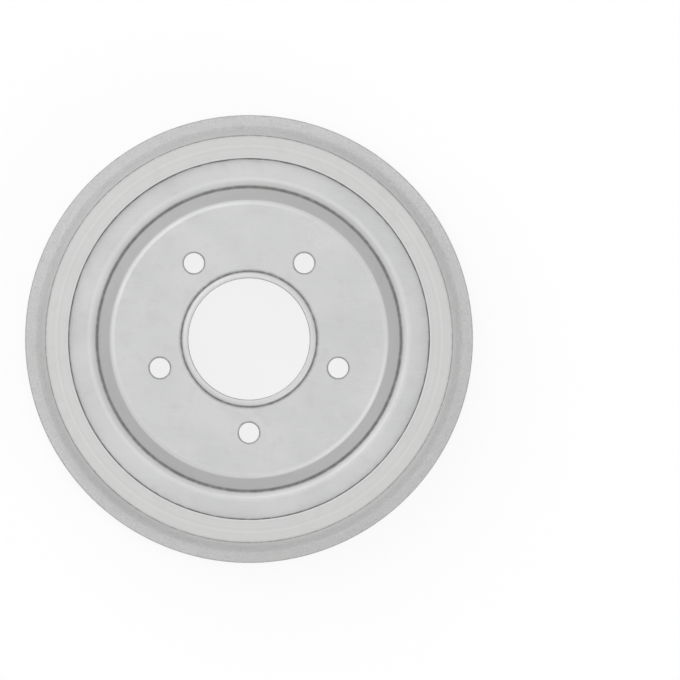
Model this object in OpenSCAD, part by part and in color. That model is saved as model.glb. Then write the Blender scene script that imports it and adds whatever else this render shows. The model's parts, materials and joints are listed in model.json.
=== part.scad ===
// Composite brake drum: a ring of cast iron poured round the rim of a pressed-steel web.
// The drum stands on its open face. Z runs up the axle line, from the open face to the hat that
// the wheel bolts against. The origin is the centre of the open face, and lengths are millimetres.

/* [Friction surface] */
// Diameter of the machined surface that the shoes press against
friction_d = 279.4; // [265:0.1:300]
// Depth of the friction surface, from the open face to the shoulder
friction_depth = 71.8; // [55:0.1:90]
// Radius in the corner between the friction surface and the shoulder
relief_r = 1; // [0.3:0.1:3]

/* [Barrel] */
// Iron outside the friction surface, measured at the rear face
barrel_wall = 7.3; // [6:0.1:12]
// Draft of the cast outside, in degrees
barrel_draft = 1.8; // [0.5:0.1:4]
// Thickness of the shoulder that holds the web
shoulder_t = 16.3; // [14:0.1:22]
// How far the shoulder reaches in from the friction surface
shoulder_w = 9.5; // [7:0.1:14]
// Corner radius round the rear face
rear_corner_r = 1.4; // [0.3:0.1:3]

/* [Flange] */
// Width of the flange's outer edge
flange_w = 23.8; // [20:0.1:30]
// Draft of the flange's back face, in degrees
flange_draft = 11; // [3:0.5:20]
// Radius between the flange and the barrel
blend_r = 10.5; // [3:0.5:14]
// Corner radius at the open face
flange_corner_r = 1; // [0.3:0.1:2]

/* [Seal groove] */
// Wall between the friction surface and the groove
groove_wall = 6.65; // [5:0.05:9]
// Radial width of the groove
groove_w = 10.15; // [6:0.05:14]
// Depth of the groove below the open face
groove_depth = 15.2; // [8:0.1:17]
// Wall between the groove and the flange's outer edge
groove_lip = 4.75; // [3:0.05:8]

/* [Web] */
// Thickness of the steel sheet
web_t = 2.8; // [2:0.1:3.6]
// Thickness of the cone, where the press draws the sheet thinner
cone_t = 2.3; // [1.6:0.1:3.6]
// How far the rim of the web is cast into the iron
rim_bite = 11.3; // [6:0.1:14]
// Number of half-round notches in that rim, which the iron fills so that the web can't turn
notch_count = 24; // [12:1:36]
// Diameter of the notches
notch_d = 10; // [6:0.5:11]
// Depth of the web's rim below the rear face of the ring
web_setback = 6; // [3:0.1:8]
// Drop of the joggle towards the open side
joggle_drop = 1.8; // [1:0.1:4]
// Radial width of the joggle
joggle_w = 4.7; // [3:0.1:8]
// Slope of the cone from the axle line, in degrees
cone_angle = 35; // [20:1:45]
// Diameter of the hat, across the corner of its outboard face
hat_d = 198.6; // [185:0.1:210]
// Height of the hat above the rear face of the ring
hat_rise = 6.5; // [2:0.1:15]
// Inner radius of the bends round the joggle and the hat
bend_r = 2; // [1:0.1:3]

/* [Hub lip] */
// Diameter of the bore that fits over the axle's pilot
hub_bore_d = 87.4; // [75:0.1:95]
// Radial width of the flat lip round the bore
lip_w = 3.3; // [2:0.1:5]
// Height of the lip above the hat
lip_rise = 1.5; // [0.8:0.1:2.5]
// Radial width of the slope up to the lip
lip_slope_w = 1.8; // [1.2:0.1:3]
// Inner radius of the bends at the lip
lip_bend_r = 0.6; // [0.2:0.1:1]

/* [Stud holes] */
// Number of holes for the wheel studs
stud_count = 5; // [3:1:8]
// Diameter of the circle through the centres of the holes
stud_circle_d = 135; // [125:0.1:145]
// Diameter of each hole
stud_hole_d = 14.5; // [12:0.1:18]
// Direction of the first hole, in degrees from X
stud_start = -90; // [-90:1:90]

/* [Finish] */
// Radius that breaks the machined edges
edge_r = 0.4; // [0.1:0.1:0.8]
// Angle between the points of a large rounded corner, in degrees
arc_step = 9; // [4:1:30]
// Distance between the points of a small rounded corner
arc_chord = 0.3; // [0.1:0.05:1]

/* [Hidden] */
$fn = 240;

// The ring: radii from the axle line, and heights from the open face
friction_r = friction_d / 2;
ring_h = friction_depth + shoulder_t;
shoulder_r = friction_r - shoulder_w;
rear_r = friction_r + barrel_wall;
groove_inner_r = friction_r + groove_wall;
groove_outer_r = groove_inner_r + groove_w;
flange_r = groove_outer_r + groove_lip;

// Where the back of the flange and the barrel would meet without the blend between them
flange_slope = tan(flange_draft);
barrel_slope = tan(barrel_draft);
blend_corner_r = (rear_r + barrel_slope * (ring_h - flange_w - flange_slope * flange_r))
    / (1 - barrel_slope * flange_slope);
blend_corner_z = flange_w + flange_slope * (flange_r - blend_corner_r);

// The outboard face of the web, from its rim to the bore
rim_r = shoulder_r + rim_bite;
rim_z = ring_h - web_setback;
valley_z = rim_z - joggle_drop;
hat_r = hat_d / 2;
hat_z = ring_h + hat_rise;
valley_r = hat_r + (hat_z - valley_z) * tan(cone_angle);
joggle_r = valley_r + joggle_w;
hub_bore_r = hub_bore_d / 2;
lip_r = hub_bore_r + lip_w;
lip_foot_r = lip_r + lip_slope_w;
lip_z = hat_z + lip_rise;

// The first notch lies half a pitch from X, so that the rim is whole across the X and Y axes
notch_start = 180 / notch_count;
// How far a cut passes beyond the sheet on each side
cut_past = 5;
// The part of a side that its two rounded corners may take up together
side_share = 0.98;

function unit(v) = v / norm(v);
function wrapped(angle) = angle - 360 * round(angle / 360);

// Corner i of a closed outline, as [radius from the axle line, height, corner radius]
function corner(corners, i) = corners[(i + len(corners)) % len(corners)];
function point(corners, i) = [corner(corners, i)[0], corner(corners, i)[1]];
function side(corners, i, j) = point(corners, j) - point(corners, i);

// Half of the angle inside corner i
function half_angle(corners, i) =
    acos(unit(side(corners, i, i - 1)) * unit(side(corners, i, i + 1))) / 2;

// How far the full radius of corner i reaches along its two sides
function full_reach(corners, i) = corner(corners, i)[2] / tan(half_angle(corners, i));

// The reach that corner i may have on the side it shares with corner j
function side_limit(corners, i, j) = side_share * norm(side(corners, i, j))
    * full_reach(corners, i) / (full_reach(corners, i) + full_reach(corners, j));

// The points of the arc that rounds corner i
function corner_arc(corners, i) = let (
    before = unit(side(corners, i, i - 1)),
    after = unit(side(corners, i, i + 1)),
    reach = min(full_reach(corners, i), side_limit(corners, i, i - 1), side_limit(corners, i, i + 1)),
    centre = point(corners, i) + unit(before + after) * reach / cos(half_angle(corners, i)),
    first = point(corners, i) + before * reach - centre,
    last = point(corners, i) + after * reach - centre,
    start = atan2(first[1], first[0]),
    turn = wrapped(atan2(last[1], last[0]) - start),
    arc_length = norm(first) * abs(turn) * PI / 180,
    steps = ceil(min(abs(turn) / arc_step, arc_length / arc_chord))
) [
    for (k = [0 : steps])
        let (angle = start + turn * k / steps)
            centre + norm(first) * [cos(angle), sin(angle)]
];

function rounded(corners) = [
    for (i = [0 : len(corners) - 1])
        each (corner(corners, i)[2] > 0 ? corner_arc(corners, i) : [point(corners, i)])
];

// A bent sheet is given by the bends of its outboard face, from the rim to the bore, each as
// [radius from the axle line, height, thickness of the sheet from there on, inner radius of the bend]
function bend_point(path, i) = [path[i][0], path[i][1]];
function along(path, i) = unit(bend_point(path, i + 1) - bend_point(path, i));
function inboard_side(path, i) = [-along(path, i)[1], along(path, i)[0]];

// The outside of a bend has the larger radius, by the thickness of the sheet
function bend_t(path, i) = (path[i - 1][2] + path[i][2]) / 2;
function bends_inboard(path, i) = cross(along(path, i - 1), along(path, i)) > 0;

function outboard_bend(path, i) =
    concat(bend_point(path, i), path[i][3] + (bends_inboard(path, i) ? bend_t(path, i) : 0));

// The inboard faces of two strips of the sheet meet here, opposite the outboard bend
function inboard_bend(path, i) = let (
    a = inboard_side(path, i - 1),
    b = inboard_side(path, i),
    t_a = path[i - 1][2],
    t_b = path[i][2],
    meet = bend_point(path, i) + [t_a * b[1] - t_b * a[1], t_b * a[0] - t_a * b[0]] / cross(a, b)
) concat(meet, path[i][3] + (bends_inboard(path, i) ? 0 : bend_t(path, i)));

function sheet(path) = let (last = len(path) - 1) [
    concat(bend_point(path, 0), 0),
    for (i = [1 : last - 1]) outboard_bend(path, i),
    concat(bend_point(path, last), 0),
    concat(bend_point(path, last) + inboard_side(path, last - 1) * path[last - 1][2], 0),
    for (i = [last - 1 : -1 : 1]) inboard_bend(path, i),
    concat(bend_point(path, 0) + inboard_side(path, 0) * path[0][2], 0)
];

// Its children, spaced evenly round the axle line
module around(count, start) {
    for (i = [0 : count - 1])
        rotate(start + i * 360 / count) children();
}

// Cuts a round hole through a level part of the sheet whose outboard face is at height z
module sheet_hole(radius, z, d) {
    translate([radius, 0, z - web_t - cut_past])
        cylinder(d = d, h = web_t + 2 * cut_past);
}

module rim_notches() {
    around(notch_count, notch_start) sheet_hole(rim_r, rim_z, notch_d);
}

// The space that the rim of the web takes up in the iron
module cast_in_rim() {
    difference() {
        translate([0, 0, rim_z - web_t]) cylinder(r = rim_r, h = web_t);
        rim_notches();
    }
}

// The cast ring: flange with its seal groove, barrel, friction surface, and the shoulder round the web
module brake_ring() {
    ring_corners = [
        [friction_r, 0, edge_r],
        [groove_inner_r, 0, edge_r],
        [groove_inner_r, groove_depth, edge_r],
        [groove_outer_r, groove_depth, edge_r],
        [groove_outer_r, 0, edge_r],
        [flange_r, 0, flange_corner_r],
        [flange_r, flange_w, edge_r],
        [blend_corner_r, blend_corner_z, blend_r],
        [rear_r, ring_h, rear_corner_r],
        [shoulder_r, ring_h, edge_r],
        [shoulder_r, friction_depth, edge_r],
        [friction_r, friction_depth, relief_r]
    ];
    color("silver") difference() {
        rotate_extrude() polygon(rounded(ring_corners));
        cast_in_rim();
    }
}

// The pressed web: notched rim, joggle, cone, hat and the lip round the bore
module web() {
    web_path = [
        [rim_r, rim_z, web_t, 0],
        [joggle_r, rim_z, web_t, bend_r],
        [valley_r, valley_z, cone_t, bend_r],
        [hat_r, hat_z, web_t, bend_r],
        [lip_foot_r, hat_z, web_t, lip_bend_r],
        [lip_r, lip_z, web_t, lip_bend_r],
        [hub_bore_r, lip_z, web_t, 0]
    ];
    color("lightgray") difference() {
        rotate_extrude() polygon(rounded(sheet(web_path)));
        rim_notches();
        around(stud_count, stud_start) sheet_hole(stud_circle_d / 2, hat_z, stud_hole_d);
    }
}

brake_ring();
web();
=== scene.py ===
# A composite brake drum on a pale floor, seen along its axle line from the side of the hat.
# A ring of cast iron is poured round the rim of a pressed-steel web. Lengths are in metres.
import json
import math

import bmesh
import bpy
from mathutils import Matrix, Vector, noise


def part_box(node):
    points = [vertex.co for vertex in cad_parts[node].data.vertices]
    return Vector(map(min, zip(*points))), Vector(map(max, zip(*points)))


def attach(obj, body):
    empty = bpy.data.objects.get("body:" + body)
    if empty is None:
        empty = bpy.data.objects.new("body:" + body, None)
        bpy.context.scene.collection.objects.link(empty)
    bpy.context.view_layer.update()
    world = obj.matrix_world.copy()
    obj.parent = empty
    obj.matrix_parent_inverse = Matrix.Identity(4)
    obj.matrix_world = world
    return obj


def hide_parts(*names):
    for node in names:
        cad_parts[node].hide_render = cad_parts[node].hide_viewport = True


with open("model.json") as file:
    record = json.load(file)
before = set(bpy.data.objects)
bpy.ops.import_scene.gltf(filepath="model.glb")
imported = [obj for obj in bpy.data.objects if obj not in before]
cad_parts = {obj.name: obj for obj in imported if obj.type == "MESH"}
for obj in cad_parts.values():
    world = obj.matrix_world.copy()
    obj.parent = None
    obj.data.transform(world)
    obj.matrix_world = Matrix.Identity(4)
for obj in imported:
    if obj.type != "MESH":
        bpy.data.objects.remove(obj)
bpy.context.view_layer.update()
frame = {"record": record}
mounts = {mount["name"]: mount for mount in frame["record"]["mounts"]}
ring_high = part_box("brake_ring")[1]
web_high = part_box("web")[1]

MM = 0.001
FULL_TURN = math.tau
ORIGIN = (0, 0, 0)
UP = (0, 0, 1)

# The ring
FRICTION_R = mounts["friction_bore"]["dims"]["r_mm"] * MM
FRICTION_DEPTH = 71.8 * MM
FLANGE_R = ring_high.x
FLANGE_W = 23.8 * MM
FLANGE_SLOPE = math.tan(math.radians(11))
RING_H = ring_high.z
REAR_R = 147 * MM
BARREL_SLOPE = math.tan(math.radians(1.8))
BLEND_RADIUS = 10.5 * MM
REAR_RADIUS = 1.4 * MM
FLANGE_RADIUS = 1 * MM
RELIEF_RADIUS = 1 * MM
EDGE_BREAK = 0.4 * MM
SHOULDER_R = FRICTION_R - 9.5 * MM
GROOVE_IN_R = FRICTION_R + 6.65 * MM
GROOVE_OUT_R = GROOVE_IN_R + 10.15 * MM
GROOVE_DEPTH = 15.2 * MM
WALL_MIDDLE_R = GROOVE_IN_R - 3 * MM

# The web
SHEET = 2.8 * MM
CONE_SHEET = 2.3 * MM
CONE_SLOPE = math.tan(math.radians(35))
RIM_R = SHOULDER_R + 11.3 * MM
RIM_Z = RING_H - 6 * MM
HAT_Z = mounts["wheel_seat"]["pos_m"][2]
HAT_BACK_Z = HAT_Z - SHEET
HAT_R = 99.3 * MM
VALLEY_Z = RIM_Z - 1.8 * MM
VALLEY_R = HAT_R + (HAT_Z - VALLEY_Z) * CONE_SLOPE
JOGGLE_R = VALLEY_R + 4.7 * MM
BEND = 2 * MM
BORE_R = mounts["hub_bore"]["dims"]["r_mm"] * MM
LIP_R = BORE_R + 3.3 * MM
LIP_FOOT_R = LIP_R + 1.8 * MM
LIP_Z = web_high.z
LIP_BEND = 0.6 * MM
NOTCHES = 24
NOTCH_R = 5 * MM

# The stud holes, and the level band of the hat that they are pierced through
STUDS = mounts["wheel_studs"]["dims"]["count"]
STUD_CIRCLE_R = mounts["wheel_studs"]["dims"]["pcd_mm"] / 2 * MM
STUD_HOLE_R = mounts["wheel_studs"]["dims"]["hole_r_mm"] * MM
STUD_START = -FULL_TURN / 4
HOLE_MARGIN_R = STUD_HOLE_R + 2 * MM
BAND_IN_R = STUD_CIRCLE_R - 11 * MM
BAND_OUT_R = STUD_CIRCLE_R + 11 * MM

# How the punch leaves a hole: rolled over where it enters, sheared bright and then torn, and
# nearly square where it leaves
ROLL_OVER = 0.7 * MM
SHEARED_TO_Z = HAT_Z - 1.2 * MM
TORN_FROM_Z = HAT_Z - 1.5 * MM
BURR = 0.12 * MM

# The unevenness of the cast skin: its depth, and its waves per metre with the share of each
CAST_DEPTH = 0.15 * MM
CAST_WAVES = ((35, 1), (110, 0.4))

# How finely the shapes are divided: steps round a turn, along an outline and round its corners
TURN_STEPS = 288
HOLE_STEPS = 64
NOTCH_STEPS = 14
SIDE_STEP = 4 * MM
HOLE_SIDE_STEP = 2 * MM
END_STEP = 0.7 * MM
ARC_STEP = 0.25 * MM
ARC_STEPS_MIN = 3
ARC_STEPS_MAX = 12
# The most of a side that a rounded corner takes up
SIDE_SHARE = 0.98

# Vertices nearer than this are one, and heights nearer than this are the same. An edge is sharp
# from this angle on, and a face is upright while its normal rises by less than this.
WELD = 0.005 * MM
SAME_HEIGHT = 0.02 * MM
SHARP = math.radians(40)
UPRIGHT = 0.9

# The marks on the mesh: how far they reach, the radius past which a corner is marked less, and
# how far rounding takes a corner back, as a share of its radius
EDGE, CORNER = "edge", "corner"
MARK_REACH = 2 * MM
MARK_WIDE = 6 * MM
ROUNDED_OFF = 0.4


# Outlines, turned round the axle line


def new_mesh():
    """An empty mesh that can hold the marks."""
    bm = bmesh.new()
    bm.verts.layers.float.new(EDGE)
    bm.verts.layers.float.new(CORNER)
    return bm


def to_mesh(name, bm):
    """Turns a bmesh into a mesh and frees it."""
    mesh = bpy.data.meshes.new(name)
    bm.to_mesh(mesh)
    bm.free()
    return mesh


def join(bm, part):
    """Moves the faces of a part into a mesh."""
    mesh = to_mesh("part", part)
    bm.from_mesh(mesh)
    bpy.data.meshes.remove(mesh)


def only(kind, items):
    """The items of one kind, such as the vertices that an operator returns."""
    return [item for item in items if isinstance(item, kind)]


def spin(bm, geom, angle, steps, centre=ORIGIN, merge=False, duplicate=False):
    """Sweeps or repeats a part of a mesh round an upright line."""
    return bmesh.ops.spin(
        bm,
        geom=geom,
        cent=centre,
        axis=UP,
        dvec=ORIGIN,
        angle=angle,
        steps=steps,
        use_merge=merge,
        use_duplicate=duplicate,
    )


def round_corner(bm, vert, radius):
    """Rounds a corner of an outline by a radius, with more segments where the arc is longer."""
    a, b = [edge.other_vert(vert).co - vert.co for edge in vert.link_edges]
    inside = a.angle(b)
    steps = math.ceil(radius * (math.pi - inside) / ARC_STEP)
    bmesh.ops.bevel(
        bm,
        geom=[vert],
        offset=min(radius / math.tan(inside / 2), SIDE_SHARE * min(a.length, b.length)),
        offset_type="OFFSET",
        segments=min(ARC_STEPS_MAX, max(ARC_STEPS_MIN, steps)),
        profile=0.5,
        affect="VERTICES",
        material=-1,
    )


def longest_edge(vert):
    """The longest edge at a vertex."""
    return max(vert.link_edges, key=lambda edge: edge.calc_length())


def divide(bm, edge, longest):
    """Cuts a straight side into steps. The short step at each end keeps the shading of a rounded
    corner off the side."""
    if edge.calc_length() <= 3 * END_STEP:
        return
    near = bmesh.utils.edge_split(edge, edge.verts[0], END_STEP / edge.calc_length())[1]
    rest = longest_edge(near)
    far = bmesh.utils.edge_split(rest, near, 1 - END_STEP / rest.calc_length())[1]
    middle = longest_edge(far)
    cuts = math.ceil(middle.calc_length() / longest) - 1
    if cuts > 0:
        bmesh.ops.subdivide_edges(bm, edges=[middle], cuts=cuts)


def mark_corners(bm, corners):
    """Notes on each vertex how near it lies to an outer edge or to an inner corner, from 0 to 1.
    A wide radius counts for less, because it is hardly rubbed and is given less of the painted
    corner shade."""
    outer, inner = bm.verts.layers.float[EDGE], bm.verts.layers.float[CORNER]
    for before, (r, z, radius), after in zip(corners, corners[1:], corners[2:]):
        way_in = Vector((r - before[0], z - before[1]))
        way_out = Vector((after[0] - r, after[1] - z))
        mark = outer if way_in.cross(way_out) > 0 else inner
        share = min(1, MARK_WIDE / max(radius, MM))
        for vert in bm.verts:
            distance = math.hypot(vert.co.x - r, vert.co.z - z) - ROUNDED_OFF * radius
            vert[mark] = max(vert[mark], share * min(1, 1 - distance / MARK_REACH))


def outline(corners, longest):
    """A mesh with an outline of (radius, height, corner radius), with the metal on its left."""
    bm = new_mesh()
    verts = [bm.verts.new((r, 0, z)) for r, z, radius in corners]
    for a, b in zip(verts, verts[1:]):
        bm.edges.new((a, b))
    for vert, (r, z, radius) in zip(verts, corners):
        if radius:
            round_corner(bm, vert, radius)
    for edge in bm.edges[:]:
        divide(bm, edge, longest)
    mark_corners(bm, corners)
    return bm


def turned(corners, longest=SIDE_STEP, steps=TURN_STEPS):
    """The skin that an outline sweeps on its way round the axle line."""
    bm = outline(corners, longest)
    spin(bm, bm.verts[:] + bm.edges[:], FULL_TURN, steps, merge=True)
    return bm


def arc_on(bm, vert, centre, angle, steps):
    """Carries a line on from a vertex along an arc, and returns its far end."""
    made = spin(bm, [vert], angle, steps, centre)
    return only(bmesh.types.BMVert, made["geom_last"])[0]


def cast_in_rim():
    """The skin where the notched rim of the web and the iron meet, outside the shoulder's bore.
    One notch is drawn between two half lands, and then repeated round the rim."""
    bm = new_mesh()
    pitch = FULL_TURN / NOTCHES
    pitch_steps = TURN_STEPS // NOTCHES
    half_mouth = 2 * math.asin(NOTCH_R / 2 / RIM_R)
    half_land = pitch / 2 - half_mouth
    notch_centre = (RIM_R * math.cos(pitch / 2), RIM_R * math.sin(pitch / 2), RIM_Z)

    start = bm.verts.new((RIM_R, 0, RIM_Z))
    mouth_in = arc_on(bm, start, ORIGIN, half_land, pitch_steps // 2)
    mouth_out = arc_on(bm, mouth_in, notch_centre, half_mouth - math.pi, NOTCH_STEPS)
    end = arc_on(bm, mouth_out, ORIGIN, half_land, pitch_steps // 2)
    outer = bm.edges[:]
    foot = bm.verts.new((SHOULDER_R, 0, RIM_Z))
    foot_end = arc_on(bm, foot, ORIGIN, pitch, pitch_steps)
    bm.edges.new((start, foot))
    bm.edges.new((end, foot_end))
    level = bmesh.ops.triangle_fill(bm, edges=bm.edges[:], use_beauty=True, normal=UP)["geom"]

    lower = bmesh.ops.duplicate(bm, geom=only(bmesh.types.BMFace, level))["geom"]
    wall = bmesh.ops.extrude_edge_only(bm, edges=outer)["geom"]
    for part in (lower, wall):
        verts = only(bmesh.types.BMVert, part)
        bmesh.ops.translate(bm, verts=verts, vec=(0, 0, -SHEET))
    drawn = bm.verts[:] + bm.edges[:] + bm.faces[:]
    spin(bm, drawn, FULL_TURN - pitch, NOTCHES - 1, duplicate=True)
    return bm


def close(bm):
    """Joins the parts of a mesh, turns its faces outwards and leaves only real edges sharp."""
    bmesh.ops.remove_doubles(bm, verts=bm.verts, dist=WELD)
    bmesh.ops.recalc_face_normals(bm, faces=bm.faces)
    for face in bm.faces:
        face.smooth = True
    for edge in bm.edges:
        edge.smooth = edge.calc_face_angle(0) < SHARP
    bm.normal_update()


def show(name, data):
    """Adds an object to the scene."""
    shown = bpy.data.objects.new(name, data)
    bpy.context.scene.collection.objects.link(shown)
    return shown


def piece(name, bm, materials, node):
    """A finished piece of the drum, which stands for a CAD node."""
    made = show(name, to_mesh(name, bm))
    for material in materials:
        made.data.materials.append(material)
    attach(made, "root")
    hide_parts(node)


# Node trees


def set_inputs(tree, node, values):
    """Gives each input of a node a value or another node's output."""
    for socket, value in values.items():
        if isinstance(value, bpy.types.NodeSocket):
            tree.links.new(value, node.inputs[socket])
        else:
            node.inputs[socket].default_value = value


def add(tree, kind, values=(), **settings):
    """Adds a node with its settings and its inputs."""
    node = tree.nodes.new(kind)
    for name, value in settings.items():
        setattr(node, name, value)
    set_inputs(tree, node, dict(values))
    return node


def calc(tree, operation, *values):
    """The result of a Math node."""
    return add(tree, "ShaderNodeMath", enumerate(values), operation=operation).outputs[0]


def times(tree, a, b):
    """The product of two values."""
    return calc(tree, "MULTIPLY", a, b)


def largest(tree, first, *others):
    """The largest of several values."""
    for other in others:
        first = calc(tree, "MAXIMUM", first, other)
    return first


def weighed(tree, *parts):
    """The sum of several values, each with its weight."""
    terms = [value if weight == 1 else times(tree, value, weight) for value, weight in parts]
    total = terms[0]
    for term in terms[1:]:
        total = calc(tree, "ADD", total, term)
    return total


def blend(tree, amount, a, b, share=1):
    """A colour between two colours, by an amount or a share of it."""
    if share != 1:
        amount = times(tree, amount, share)
    mix = add(tree, "ShaderNodeMix", {"Factor": amount, 6: a, 7: b}, data_type="RGBA")
    return mix.outputs[2]


def between(tree, value, low, high, low_out=0.0, high_out=1.0, smooth=False):
    """A value carried from one range into another, and kept inside it."""
    node = add(
        tree,
        "ShaderNodeMapRange",
        {"Value": value, 1: low, 2: high, 3: low_out, 4: high_out},
        interpolation_type="SMOOTHSTEP" if smooth else "LINEAR",
    )
    return node.outputs[0]


def spread(tree, value, low_out=0.0, high_out=1.0):
    """Noise, which seldom leaves the middle of its range, carried into a whole one."""
    return between(tree, value, 0.3, 0.7, low_out, high_out)


def cloud(tree, position, scale, detail, roughness=0.5, distortion=0.0):
    """Noise from 0 to 1."""
    values = {
        "Vector": position,
        "Scale": scale,
        "Detail": detail,
        "Roughness": roughness,
        "Distortion": distortion,
    }
    return add(tree, "ShaderNodeTexNoise", values).outputs["Fac"]


def speckle(tree, position, size, detail=3.0, roughness=0.55):
    """Noise from 0 to 1 with its main forms of a given size."""
    return cloud(tree, position, 1 / size, detail, roughness)


def height_of(tree, position):
    """How high a place lies above the open face, or how far a direction rises."""
    return add(tree, "ShaderNodeSeparateXYZ", {0: position}).outputs["Z"]


def length_of(tree, vector):
    """How long a vector is."""
    return add(tree, "ShaderNodeVectorMath", {0: vector}, operation="LENGTH").outputs["Value"]


def radius_of(tree, position):
    """How far a place is from the axle line."""
    flat = add(tree, "ShaderNodeVectorMath", {0: position, 1: (1, 1, 0)}, operation="MULTIPLY")
    return length_of(tree, flat.outputs[0])


def vector_of(tree, x, y):
    """A vector from its first two parts."""
    return add(tree, "ShaderNodeCombineXYZ", {0: x, 1: y}).outputs[0]


def scaled(tree, position, scale, angle=0, kind="POINT"):
    """A position scaled along each axis. What reads it is drawn out where the scale is small. A
    mapping of the kind "TEXTURE" scales and turns what reads it instead."""
    values = {"Vector": position, "Rotation": (0, 0, angle), "Scale": scale}
    return add(tree, "ShaderNodeMapping", values, vector_type=kind).outputs["Vector"]


# Effects that more than one material may use


def node_group(name, inputs, outputs):
    """A group that reads a position and named values, with its inputs and its output node."""
    tree = bpy.data.node_groups.new(name, "ShaderNodeTree")
    new_socket = tree.interface.new_socket
    new_socket(name="Position", in_out="INPUT", socket_type="NodeSocketVector")
    for socket in inputs:
        new_socket(name=socket, in_out="INPUT", socket_type="NodeSocketFloat")
    for socket in outputs:
        new_socket(name=socket, in_out="OUTPUT", socket_type="NodeSocketFloat")
    return tree, tree.nodes.new("NodeGroupInput").outputs, tree.nodes.new("NodeGroupOutput")


def place(tree, group, **values):
    """A group placed in a material, with its own values."""
    values = {socket.capitalize(): value for socket, value in values.items()}
    return add(tree, "ShaderNodeGroup", values, node_tree=group).outputs


def tool_marks_group():
    """Rings left by a turning tool. They follow the radius on a face, and the height on a bore."""
    tree, given, result = node_group("tool_marks", ["Feed"], ["Height", "Tone"])
    position = given["Position"]
    travel = calc(tree, "ADD", radius_of(tree, position), height_of(tree, position))
    turns = calc(tree, "DIVIDE", travel, given["Feed"])

    def rings(width, detail):
        """Noise along the travel of the tool, in forms so many turns wide."""
        values = {"W": calc(tree, "DIVIDE", turns, width), "Scale": 1.0, "Detail": detail}
        return add(tree, "ShaderNodeTexNoise", values, noise_dimensions="1D").outputs["Fac"]

    fine, medium, broad = rings(1.0, 1.0), rings(4.0, 2.0), rings(14.0, 3.0)
    patchy = spread(tree, speckle(tree, position, 30 * MM), 0.5, 1.0)
    height = weighed(tree, (fine, patchy), (medium, 0.9))
    tone = weighed(tree, (medium, 0.5), (broad, 0.2), (fine, 0.3))
    set_inputs(tree, result, {"Height": height, "Tone": spread(tree, tone)})
    return tree


def cast_grain_group():
    """The skin that moulding sand leaves: fine grain, low swells and a few small pits."""
    tree, given, result = node_group("cast_grain", ["Grain"], ["Height", "Tone"])
    position = given["Position"]
    scale = calc(tree, "DIVIDE", 1.0, given["Grain"])
    grain = cloud(tree, position, scale, detail=5.0, roughness=0.7)
    swell_scale = calc(tree, "DIVIDE", scale, 9.0)
    swell = cloud(tree, position, swell_scale, detail=2.0, roughness=0.7)
    cell_scale = calc(tree, "DIVIDE", scale, 4.0)
    cells = add(tree, "ShaderNodeTexVoronoi", {"Vector": position, "Scale": cell_scale})
    unpitted = between(tree, cells.outputs["Distance"], 0.06, 0.22, smooth=True)
    height = weighed(tree, (grain, 1), (swell, 1.2), (unpitted, 0.5))
    tone = between(tree, weighed(tree, (grain, 0.85), (swell, 0.15)), 0.34, 0.62)
    tone = times(tree, tone, between(tree, unpitted, 0, 1, 0.4, 1))
    set_inputs(tree, result, {"Height": height, "Tone": tone})
    return tree


def wear_and_shade_group():
    """Where an edge is rubbed bare, and where a corner is painted darker as shade: a mark on the
    mesh, broken up.
    """
    tree, given, result = node_group("rubbed", ["Mark", "Reach"], ["Mask"])
    uneven = speckle(tree, given["Position"], 4 * MM, detail=4.0, roughness=0.65)
    uneven = spread(tree, uneven, -0.15, 0.15)
    mark = weighed(tree, (given["Mark"], 1), (uneven, given["Mark"]))
    start = calc(tree, "SUBTRACT", 1.0, given["Reach"])
    set_inputs(tree, result, {"Mask": between(tree, mark, start, 1.1, smooth=True)})
    return tree


def handled_group():
    """Broad, faint changes of tone and gloss from handling, oil film and drying."""
    tree, given, result = node_group("handled", ["Size"], ["Tone", "Film"])
    position = given["Position"]
    scale = calc(tree, "DIVIDE", 1.0, given["Size"])
    wide = cloud(tree, position, scale, detail=4.0, distortion=0.4)
    spots = cloud(tree, position, times(tree, scale, 5.0), detail=5.0)
    tone = between(tree, wide, 0.35, 0.65)
    film = between(tree, spots, 0.5, 0.72, smooth=True)
    set_inputs(tree, result, {"Tone": tone, "Film": film})
    return tree


def seam_grime_and_shade_group():
    """Rust and grime along the seam where the web's rim enters the iron, together with painted
    shade at the foot of the shoulder's step.
    """
    tree, given, result = node_group("seam", ["Reach"], ["Mask"])
    position = given["Position"]
    outwards = calc(tree, "SUBTRACT", radius_of(tree, position), SHOULDER_R)
    from_middle = calc(tree, "SUBTRACT", height_of(tree, position), RIM_Z - SHEET / 2)
    past_sheet = calc(tree, "SUBTRACT", calc(tree, "ABSOLUTE", from_middle), SHEET / 2)
    apart = length_of(tree, vector_of(tree, outwards, past_sheet))
    apart = calc(tree, "DIVIDE", apart, given["Reach"])
    uneven = spread(tree, speckle(tree, position, 6 * MM), -0.2, 0.2)
    apart = calc(tree, "ADD", apart, uneven)
    set_inputs(tree, result, {"Mask": between(tree, apart, 0.1, 1.1, 1.0, 0.0, smooth=True)})
    return tree


def scratches_group():
    """Thin, short scratches from handling and stacking, in several directions."""
    tree, given, result = node_group("scratches", ["Length"], ["Mask"])
    position = given["Position"]
    scale = calc(tree, "DIVIDE", 30.0, given["Length"])
    long_and_thin = (33, 1, 2)
    lines = []
    for angle in (20, 75, 130):
        along = scaled(tree, position, long_and_thin, math.radians(angle), "TEXTURE")
        lines.append(between(tree, cloud(tree, along, scale, detail=1.0), 0.7, 0.76))
    patches = between(tree, speckle(tree, position, 30 * MM), 0.42, 0.6, smooth=True)
    set_inputs(tree, result, {"Mask": times(tree, largest(tree, *lines), patches)})
    return tree


TOOL_MARKS = tool_marks_group()
CAST_GRAIN = cast_grain_group()
WEAR_AND_SHADE = wear_and_shade_group()
HANDLED = handled_group()
SEAM_GRIME_AND_SHADE = seam_grime_and_shade_group()
SCRATCHES = scratches_group()


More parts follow.
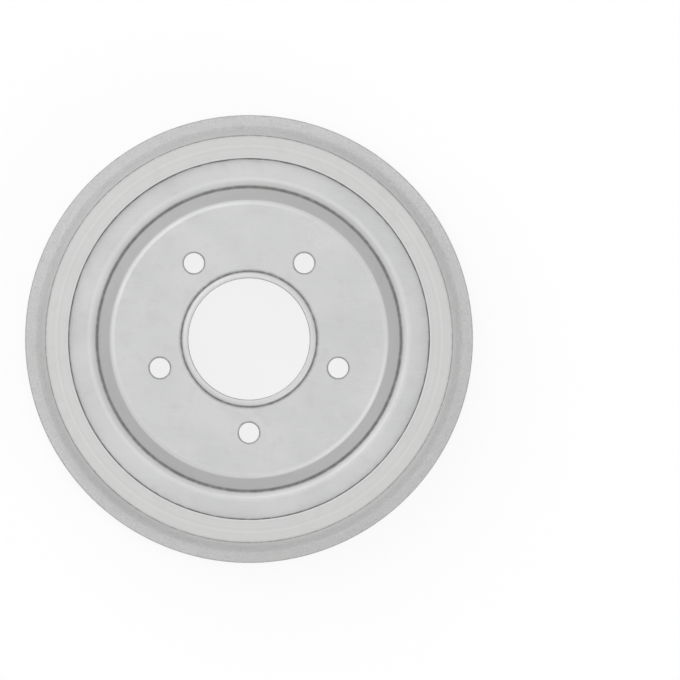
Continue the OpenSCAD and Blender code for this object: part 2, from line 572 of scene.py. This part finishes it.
# Finishes


def grey(level, warmth=0.0):
    """A grey, a touch warmer for a positive warmth and cooler for a negative one."""
    return (level * (1 + warmth), level, level * (1 - warmth), 1)


# The colours. Where a finish has two, its pattern runs from the first to the second.
COAT = grey(0.64), grey(0.78)
HANDLED_COAT = grey(0.65, 0.01)
# The coat's colour in its inner corners, which is painted shade
COAT_CORNER_SHADE = grey(0.25, 0.03)
BARE_IRON = grey(0.3, 0.03)
TURNED_LEVEL = 0.56
TURNED_IRON = grey(TURNED_LEVEL * 0.9, 0.004), grey(TURNED_LEVEL * 1.06, 0.004)
OILED_IRON = grey(TURNED_LEVEL * 0.8, 0.02)
RUBBED_IRON = grey(0.68)
SHEET_STEEL = grey(0.522, -0.004), grey(0.56, -0.004)
HANDLED_STEEL = grey(0.6)
OILED_STEEL = grey(0.46, 0.012)
RUBBED_STEEL = grey(0.66)
BURNISHED_AND_LIGHTENED_STEEL = grey(0.7)
SHEARED_STEEL = grey(0.28, 0.01), grey(0.4, 0.01)
TORN_STEEL = grey(0.25, 0.02)
# A dark colour that paints shade into the inner corners, and grime with painted shade along the
# seam
SHADE_AND_GRIME = grey(0.13, 0.05)
WHITE = grey(1.0)

# How far the grime and painted shade reach from the seam, and how much of the metal the painted
# corner shade and the seam's grime hide
SEAM_REACH = 1.3 * MM
SHADE_AND_GRIME_COVER = 0.85


def new_material(name):
    """A material with its nodes, its shader and the position that its patterns read."""
    material = bpy.data.materials.new(name)
    material.use_nodes = True
    tree = material.node_tree
    position = add(tree, "ShaderNodeTexCoord").outputs["Object"]
    return material, tree, tree.nodes["Principled BSDF"], position


def bump(tree, height, strength, distance):
    """The normals of a fine relief."""
    values = {"Height": height, "Strength": strength, "Distance": distance}
    return add(tree, "ShaderNodeBump", values).outputs["Normal"]


def wear_and_shade_mask(tree, position, mark, reach):
    """Where the edges are rubbed, and where the inner corners are painted darker as shade."""
    mark = add(tree, "ShaderNodeAttribute", attribute_name=mark).outputs["Fac"]
    return place(tree, WEAR_AND_SHADE, position=position, mark=mark, reach=reach)["Mask"]


def shade_and_grime_on(tree, position, reach):
    """Painted shade in the inner corners, and grime with painted shade along the seam."""
    corner_shade = wear_and_shade_mask(tree, position, CORNER, reach)
    seam = place(tree, SEAM_GRIME_AND_SHADE, position=position, reach=SEAM_REACH)["Mask"]
    return times(tree, largest(tree, corner_shade, seam), SHADE_AND_GRIME_COVER)


def finish_metal(tree, shader, shade_and_grime, colour, rough, metallic, normal):
    """A bare metal under its painted corner shade and seam grime, which is dark, matt and not
    metallic.
    """
    values = {
        "Base Color": blend(tree, shade_and_grime, colour, SHADE_AND_GRIME),
        "Roughness": largest(tree, rough, shade_and_grime),
        "Metallic": between(tree, shade_and_grime, 0, 1, metallic, 0),
        "Normal": normal,
    }
    set_inputs(tree, shader, values)


def coated_iron():
    """Sand-cast iron under a thin coat of light grey, rubbed through on its edges and darkened in
    its inner corners as painted shade.
    """
    material, tree, shader, position = new_material("coated_cast_iron")
    grain = place(tree, CAST_GRAIN, position=position, grain=1.3 * MM)
    handled = place(tree, HANDLED, position=position, size=60 * MM)
    bare = wear_and_shade_mask(tree, position, EDGE, reach=0.55)
    corner_shade = wear_and_shade_mask(tree, position, CORNER, reach=0.7)
    coat = blend(tree, grain["Tone"], *COAT)
    coat = blend(tree, handled["Tone"], coat, HANDLED_COAT, share=0.25)
    # The coat is darkened in the inner corners, such as the foot of the barrel, as painted shade
    coat = blend(tree, corner_shade, coat, COAT_CORNER_SHADE, share=0.5)
    coat = blend(tree, bare, coat, BARE_IRON)
    rough = between(tree, grain["Tone"], 0, 1, 0.62, 0.5)
    values = {
        "Base Color": coat,
        "Roughness": weighed(tree, (rough, 1), (bare, -0.15)),
        "Metallic": times(tree, bare, 0.8),
        "Normal": bump(tree, grain["Height"], 0.9, 0.5 * MM),
    }
    set_inputs(tree, shader, values)
    return material


def turned_iron(name, feed, gloss, depth):
    """Iron left bare by the lathe, with the rings of its tool and a thin film of oil."""
    material, tree, shader, position = new_material(name)
    rings = place(tree, TOOL_MARKS, position=position, feed=feed)
    handled = place(tree, HANDLED, position=position, size=45 * MM)
    scratches = place(tree, SCRATCHES, position=position, length=10 * MM)["Mask"]
    bright = wear_and_shade_mask(tree, position, EDGE, reach=0.35)
    metal = blend(tree, rings["Tone"], *TURNED_IRON)
    metal = blend(tree, handled["Film"], metal, OILED_IRON, share=0.18)
    metal = blend(tree, scratches, metal, RUBBED_IRON, share=0.4)
    metal = blend(tree, bright, metal, RUBBED_IRON, share=0.5)
    rough = between(tree, rings["Tone"], 0, 1, gloss + 0.05, gloss - 0.04)
    rough = weighed(tree, (rough, 1), (handled["Tone"], 0.07))
    shade_and_grime = shade_and_grime_on(tree, position, reach=0.6)
    relief = bump(tree, rings["Height"], 0.5, depth)
    finish_metal(tree, shader, shade_and_grime, metal, rough, 0.6, relief)
    return material


def drawn_cone(tree, position):
    """The cone, rubbed bright by the die and painted lighter against the shade that its steep slope
    gets, and the fine lines that the die drew down it.
    """
    radius = radius_of(tree, position)
    below_hat = between(tree, radius, HAT_R - 2 * MM, HAT_R + 1 * MM, smooth=True)
    above_valley = between(tree, radius, VALLEY_R - 2 * MM, VALLEY_R, 1.0, 0.0, smooth=True)
    place_at = add(tree, "ShaderNodeSeparateXYZ", {0: position}).outputs
    around = calc(tree, "ARCTAN2", place_at["Y"], place_at["X"])
    # A distance round the cone counts 15 times, so the lines are fine across and long down it
    around = times(tree, around, 15 * HAT_R)
    down = vector_of(tree, around, place_at["Z"])
    lines = speckle(tree, down, 8 * MM, detail=4.0, roughness=0.7)
    return times(tree, below_hat, above_valley), lines


def pressed_steel():
    """Sheet steel, smooth from the press, burnished where the die bent or drew it, and painted
    lighter on the cone against its shade.
    """
    material, tree, shader, position = new_material("pressed_steel")
    along_x = scaled(tree, position, (0.06, 1, 1))
    rolled = speckle(tree, along_x, 0.9 * MM, detail=5.0, roughness=0.65)
    mill = speckle(tree, position, 0.9 * MM, detail=2.0)
    handled = place(tree, HANDLED, position=position, size=50 * MM)
    scratches = place(tree, SCRATCHES, position=position, length=14 * MM)["Mask"]
    bright = wear_and_shade_mask(tree, position, EDGE, reach=0.6)
    cone, lines = drawn_cone(tree, position)
    # Painted light: the cone's lighter colour lifts the shade that its steep slope gets, over the
    # die's burnish
    cone_burnish_and_light = times(tree, cone, spread(tree, lines, 0.7, 1.0))
    sheet = blend(tree, spread(tree, rolled), *SHEET_STEEL)
    sheet = blend(tree, handled["Tone"], sheet, HANDLED_STEEL, share=0.5)
    sheet = blend(tree, handled["Film"], sheet, OILED_STEEL, share=0.25)
    sheet = blend(tree, cone_burnish_and_light, sheet, BURNISHED_AND_LIGHTENED_STEEL)
    sheet = blend(tree, scratches, sheet, BURNISHED_AND_LIGHTENED_STEEL, share=0.55)
    sheet = blend(tree, bright, sheet, RUBBED_STEEL, share=0.4)
    rough = between(tree, handled["Tone"], 0, 1, 0.52, 0.44)
    rough = weighed(tree, (rough, 1), (largest(tree, bright, cone_burnish_and_light), -0.05))
    height = weighed(tree, (rolled, 1), (mill, 0.5), (cone, lines), (scratches, -1))
    shade_and_grime = shade_and_grime_on(tree, position, reach=0.7)
    relief = bump(tree, height, 0.3, 0.04 * MM)
    finish_metal(tree, shader, shade_and_grime, sheet, rough, 0.5, relief)
    return material


def sheared_steel():
    """The wall of a pierced hole: a bright sheared band over a torn one."""
    material, tree, shader, position = new_material("sheared_steel")
    along_z = scaled(tree, position, (1, 1, 0.08))
    streaks = speckle(tree, along_z, 0.5 * MM, detail=2.0)
    wander = spread(tree, speckle(tree, position, 5 * MM), -0.4 * MM, 0.4 * MM)
    level = calc(tree, "ADD", height_of(tree, position), wander)
    torn = between(tree, level, TORN_FROM_Z, SHEARED_TO_Z, 1.0, 0.0, smooth=True)
    steel = blend(tree, streaks, *SHEARED_STEEL)
    values = {
        "Base Color": blend(tree, torn, steel, TORN_STEEL),
        "Roughness": between(tree, torn, 0, 1, 0.3, 0.65),
        "Metallic": 0.8,
        "Normal": bump(tree, streaks, 0.4, 0.05 * MM),
    }
    set_inputs(tree, shader, values)
    return material


# The cast ring


def ring_corners():
    """The outline of the iron, from below the web's rim round to above it."""
    flange_back = FLANGE_W + FLANGE_SLOPE * FLANGE_R
    blend_r = (REAR_R + BARREL_SLOPE * (RING_H - flange_back)) / (1 - BARREL_SLOPE * FLANGE_SLOPE)
    blend_z = flange_back - FLANGE_SLOPE * blend_r
    return [
        (SHOULDER_R, RIM_Z - SHEET, 0),
        (SHOULDER_R, FRICTION_DEPTH, EDGE_BREAK),
        (FRICTION_R, FRICTION_DEPTH, RELIEF_RADIUS),
        (FRICTION_R, 0, EDGE_BREAK),
        (GROOVE_IN_R, 0, EDGE_BREAK),
        (GROOVE_IN_R, GROOVE_DEPTH, EDGE_BREAK),
        (GROOVE_OUT_R, GROOVE_DEPTH, EDGE_BREAK),
        (GROOVE_OUT_R, 0, EDGE_BREAK),
        (FLANGE_R, 0, FLANGE_RADIUS),
        (FLANGE_R, FLANGE_W, EDGE_BREAK),
        (blend_r, blend_z, BLEND_RADIUS),
        (REAR_R, RING_H, REAR_RADIUS),
        (SHOULDER_R, RING_H, EDGE_BREAK),
        (SHOULDER_R, RIM_Z, 0),
    ]


COATED, TURNED, FRICTION = range(3)


def ring_finish(centre):
    """Which finish the lathe or the mould has left at a place on the ring."""
    r, z = math.hypot(centre.x, centre.y), centre.z
    if abs(r - FRICTION_R) < RELIEF_RADIUS and EDGE_BREAK < z < FRICTION_DEPTH:
        return FRICTION
    if r > WALL_MIDDLE_R and FLANGE_W < z < RING_H - SAME_HEIGHT:
        return COATED
    return TURNED


def unsettle(bm, finish):
    """Moves a cast skin in and out by a little, as a mould leaves it."""
    edge = bm.verts.layers.float[EDGE]
    moves = []
    for vert in bm.verts:
        if all(face.material_index == finish for face in vert.link_faces):
            low = sum(noise.noise(vert.co * waves) * share for waves, share in CAST_WAVES)
            moves.append((vert, vert.normal * low * CAST_DEPTH * (1 - vert[edge])))
    for vert, move in moves:
        vert.co += move


def make_ring():
    """The iron: its cast skin, its turned faces and the seat of the web's rim inside it."""
    bm = cast_in_rim()
    join(bm, turned(ring_corners()))
    close(bm)
    for face in bm.faces:
        face.material_index = ring_finish(face.calc_center_median())
    unsettle(bm, COATED)
    finishes = [
        coated_iron(),
        turned_iron("turned_iron", feed=0.5 * MM, gloss=0.46, depth=0.04 * MM),
        turned_iron("friction_surface", feed=0.22 * MM, gloss=0.36, depth=0.015 * MM),
    ]
    piece("iron_ring", bm, finishes, "brake_ring")


# The pressed web


def sheet_corners(path):
    """Both faces of a bent sheet. It is given by the bends of its outboard face, from the rim to
    the bore, as (radius, height, thickness from there on, inner radius of the bend)."""
    outboard, inboard = [], []
    for before, bend, after in zip(path, path[1:], path[2:]):
        here = Vector(bend[:2])
        way_in = (here - Vector(before[:2])).normalized()
        way_out = (Vector(after[:2]) - here).normalized()
        side_in = Vector((-way_in.y, way_in.x))
        side_out = Vector((-way_out.y, way_out.x))
        t_in, t_out, radius = before[2], bend[2], bend[3]
        wider = radius + (t_in + t_out) / 2
        turns_in = way_in.cross(way_out) > 0
        shift = Vector(
            (t_in * side_out.y - t_out * side_in.y, t_out * side_in.x - t_in * side_out.x)
        ) / side_in.cross(side_out)
        outboard.append((here.x, here.y, wider if turns_in else radius))
        inboard.append((here.x + shift.x, here.y + shift.y, radius if turns_in else wider))
    return outboard, inboard[::-1]


def web_skins():
    """The three outlines of the web, which leave out the band of the hat with the holes in it."""
    path = [
        (SHOULDER_R, RIM_Z, SHEET, 0),
        (JOGGLE_R, RIM_Z, SHEET, BEND),
        (VALLEY_R, VALLEY_Z, CONE_SHEET, BEND),
        (HAT_R, HAT_Z, SHEET, BEND),
        (LIP_FOOT_R, HAT_Z, SHEET, LIP_BEND),
        (LIP_R, LIP_Z, SHEET, LIP_BEND),
        (BORE_R, LIP_Z, SHEET, 0),
    ]
    outboard, inboard = sheet_corners(path)
    bends, lip_bends = 3, 2
    return [
        [(SHOULDER_R, RIM_Z, 0), *outboard[:bends], (BAND_OUT_R, HAT_Z, 0)],
        [(BAND_OUT_R, HAT_BACK_Z, 0), *inboard[lip_bends:], (SHOULDER_R, RIM_Z - SHEET, 0)],
        [
            (BAND_IN_R, HAT_Z, 0),
            *outboard[bends:],
            (BORE_R, LIP_Z, ROLL_OVER),
            (BORE_R, LIP_Z - SHEET, BURR),
            *inboard[:lip_bends],
            (BAND_IN_R, HAT_BACK_Z, 0),
        ],
    ]


def stud_hole(angle):
    """The wall of a stud hole, with a narrow margin of the sheet on both faces."""
    corners = [
        (HOLE_MARGIN_R, HAT_BACK_Z, 0),
        (STUD_HOLE_R, HAT_BACK_Z, BURR),
        (STUD_HOLE_R, HAT_Z, ROLL_OVER),
        (HOLE_MARGIN_R, HAT_Z, 0),
    ]
    hole = turned(corners, longest=HOLE_SIDE_STEP, steps=HOLE_STEPS)
    place_at = (STUD_CIRCLE_R * math.cos(angle), STUD_CIRCLE_R * math.sin(angle), 0)
    bmesh.ops.translate(hole, verts=hole.verts, vec=place_at)
    return hole


def fill_level(bm, height):
    """Fills what is open at a height, round the holes in it."""
    loops = [
        edge
        for edge in bm.edges
        if edge.is_boundary and all(abs(vert.co.z - height) < SAME_HEIGHT for vert in edge.verts)
    ]
    bmesh.ops.triangle_fill(bm, edges=loops, use_beauty=True, normal=UP)


PRESSED, SHEARED = range(2)


def web_finish(face):
    """The walls of the bore and the stud holes are sheared, and the rest is as pressed."""
    radius = face.calc_center_median().xy.length
    upright = abs(face.normal.z) < UPRIGHT
    near_hole = BAND_IN_R < radius < BAND_OUT_R
    near_bore = radius < BORE_R + ROLL_OVER
    return SHEARED if upright and (near_hole or near_bore) else PRESSED


def make_web():
    """The sheet: its notched rim, its bends, the lip round its bore and the stud holes."""
    bm = cast_in_rim()
    for skin in web_skins():
        join(bm, turned(skin))
    for i in range(STUDS):
        join(bm, stud_hole(STUD_START + i * FULL_TURN / STUDS))
    bmesh.ops.remove_doubles(bm, verts=bm.verts, dist=WELD)
    for height in (HAT_Z, HAT_BACK_Z):
        fill_level(bm, height)
    close(bm)
    for face in bm.faces:
        face.material_index = web_finish(face)
    piece("steel_web", bm, [pressed_steel(), sheared_steel()], "web")


# The floor, the lights and the camera

# The floor: its half width, how far it lies below the drum, its grey as a source of light, and
# its grey and its own glow as it is seen
FLOOR_HALF_W = 3
FLOOR_GAP = 0.1 * MM
FLOOR_LIT = grey(0.6)
FLOOR_SEEN = grey(0.2)
FLOOR_GLOW = 0.82

# The light of the surround, level with the floor and straight above
HORIZON_LIGHT = 0.4
ZENITH_LIGHT = 0.72


def seen_directly(tree):
    """1 for a ray from the camera, also by way of metal or glass, and 0 for the rest."""
    rays = add(tree, "ShaderNodeLightPath").outputs
    kinds = [f"Is {kind} Ray" for kind in ("Camera", "Glossy", "Transmission")]
    return largest(tree, *[rays[kind] for kind in kinds])


def mixed(tree, amount, a, b):
    """A shader between two shaders."""
    return add(tree, "ShaderNodeMixShader", {0: amount, 1: a, 2: b}).outputs[0]


def pale_floor():
    """Matt and pale as a source of light, and seen as nearly white with the drum's shadow on it.
    From below it is clear."""
    material = bpy.data.materials.new("pale_floor")
    material.use_nodes = True
    tree = material.node_tree
    tree.nodes.clear()
    matt = add(tree, "ShaderNodeBsdfDiffuse", {"Color": FLOOR_LIT}).outputs[0]
    faint = add(tree, "ShaderNodeBsdfDiffuse", {"Color": FLOOR_SEEN}).outputs[0]
    glow = add(tree, "ShaderNodeEmission", {"Color": WHITE, "Strength": FLOOR_GLOW}).outputs[0]
    seen = add(tree, "ShaderNodeAddShader", {0: faint, 1: glow}).outputs[0]
    clear = add(tree, "ShaderNodeBsdfTransparent").outputs[0]
    below = add(tree, "ShaderNodeNewGeometry").outputs["Backfacing"]
    above = mixed(tree, seen_directly(tree), matt, seen)
    add(tree, "ShaderNodeOutputMaterial", {"Surface": mixed(tree, below, above, clear)})
    return material


def make_floor():
    """What the drum stands on."""
    bm = bmesh.new()
    bmesh.ops.create_grid(bm, x_segments=1, y_segments=1, size=FLOOR_HALF_W)
    bmesh.ops.translate(bm, verts=bm.verts, vec=(0, 0, -FLOOR_GAP))
    floor = show("floor", to_mesh("floor", bm))
    floor.data.materials.append(pale_floor())


def make_world():
    """An even white surround. As a light it is dimmer, most of all near the horizon."""
    world = bpy.data.worlds.new("studio")
    bpy.context.scene.world = world
    world.use_nodes = True
    tree = world.node_tree
    tree.nodes.clear()
    way = add(tree, "ShaderNodeTexCoord").outputs["Generated"]
    level = between(tree, height_of(tree, way), 0.0, 1.0, HORIZON_LIGHT, ZENITH_LIGHT)
    light = add(tree, "ShaderNodeBackground", {"Color": WHITE, "Strength": level}).outputs[0]
    backdrop = add(tree, "ShaderNodeBackground", {"Color": WHITE, "Strength": 1.0}).outputs[0]
    surface = mixed(tree, seen_directly(tree), light, backdrop)
    add(tree, "ShaderNodeOutputWorld", {"Surface": surface})


def make_lamp(name, place_at, size, power):
    """A round, soft lamp that faces the drum."""
    data = bpy.data.lights.new(name, "AREA")
    data.shape = "DISK"
    data.size = size
    data.energy = power
    lamp = show(name, data)
    lamp.location = place_at
    lamp.rotation_mode = "QUATERNION"
    lamp.rotation_quaternion = (-Vector(place_at)).to_track_quat("-Z", "Y")


def make_camera(place_at, width, reach):
    """Looks straight down the axle line, with the drum left of the middle, as in the front view."""
    data = bpy.data.cameras.new("axle_view")
    data.type = "ORTHO"
    data.ortho_scale = width
    data.clip_end = reach
    camera = show("axle_view", data)
    camera.location = place_at
    bpy.context.scene.camera = camera


make_ring()
make_web()
make_floor()
make_world()
make_lamp("key", place_at=(-0.9, 1.0, 2.2), size=2.8, power=19)
make_lamp("fill", place_at=(1.4, -1.2, 1.8), size=2.6, power=11)
make_camera(place_at=(65.5 * MM, -0.7 * MM, 1.5), width=489.6 * MM, reach=20)
bpy.context.scene.view_settings.view_transform = "Standard"
